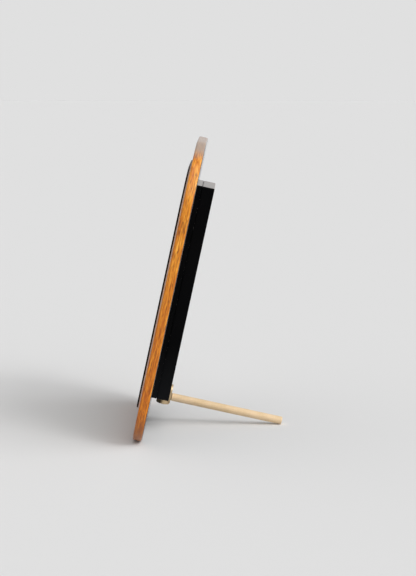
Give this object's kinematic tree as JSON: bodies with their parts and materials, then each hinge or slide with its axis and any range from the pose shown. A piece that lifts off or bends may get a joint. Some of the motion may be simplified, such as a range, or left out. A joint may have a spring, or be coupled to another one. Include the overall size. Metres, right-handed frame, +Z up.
{
  "type": "leaning picture frame",
  "caption": "Leaning desk picture frame: rounded wooden panel, dark-rimmed magnetic cassette with an oval mat, black box spine and a screw-in brass rod leg.",
  "frame": {"origin": "on the ground under the centre of the frame's bounding box", "axes": "+X across the panel, +Y from the picture's front towards the leg, +Z up"},
  "size_m": [0.17, 0.118, 0.2316],
  "materials": {
    "wood": "satin lacquer",
    "black_metal": "satin black",
    "felt": "pressed felt",
    "clear": "polished",
    "mat_board": "matt board",
    "print": "printed paper",
    "steel": "plain",
    "black_plastic": "fine satin",
    "brass": "satin brushed",
    "dark_fibre": "matt"
  },
  "bodies": {
    "stand": {"wood_panel": "wood", "panel_magnets": "steel", "panel_screws": "steel", "spine_base": "black_plastic", "spine_inserts": "brass", "spine_cover": "black_plastic", "cover_screws": "steel", "stand_bracket": "brass", "bracket_tab_screw": "brass", "bracket_hub_screw": "brass"},
    "cassette": {"cassette_rim": "black_metal", "rim_liner": "felt", "glazing": "clear", "oval_mat": "mat_board", "picture_print": "print", "keeper_plate": "steel", "keeper_tabs": "steel"},
    "leg_carrier": {"leg_washer": "dark_fibre"},
    "leg": {"leg_rod": "brass", "leg_stud": "steel"}
  },
  "joints": [
    {"name": "cassette_pull", "type": "slide", "parent": "stand", "child": "cassette", "axis": [0, -0.9772, 0.2122], "range_m": [0, 0.03]},
    {"name": "leg_advance", "type": "slide", "parent": "stand", "child": "leg_carrier", "axis": [0, 0.9772, -0.2122], "range_m": [0, 0.00508]},
    {"name": "leg_turn", "type": "hinge", "parent": "leg_carrier", "child": "leg", "pos_m": [0, -0.03094, 0.02242], "axis": [0, 0.9772, -0.2122], "range_deg": [0, 2885]}
  ],
  "couplings": [
    {"joint": "leg_turn", "follows": "leg_advance", "rad_per_m": 9894.8}
  ]
}
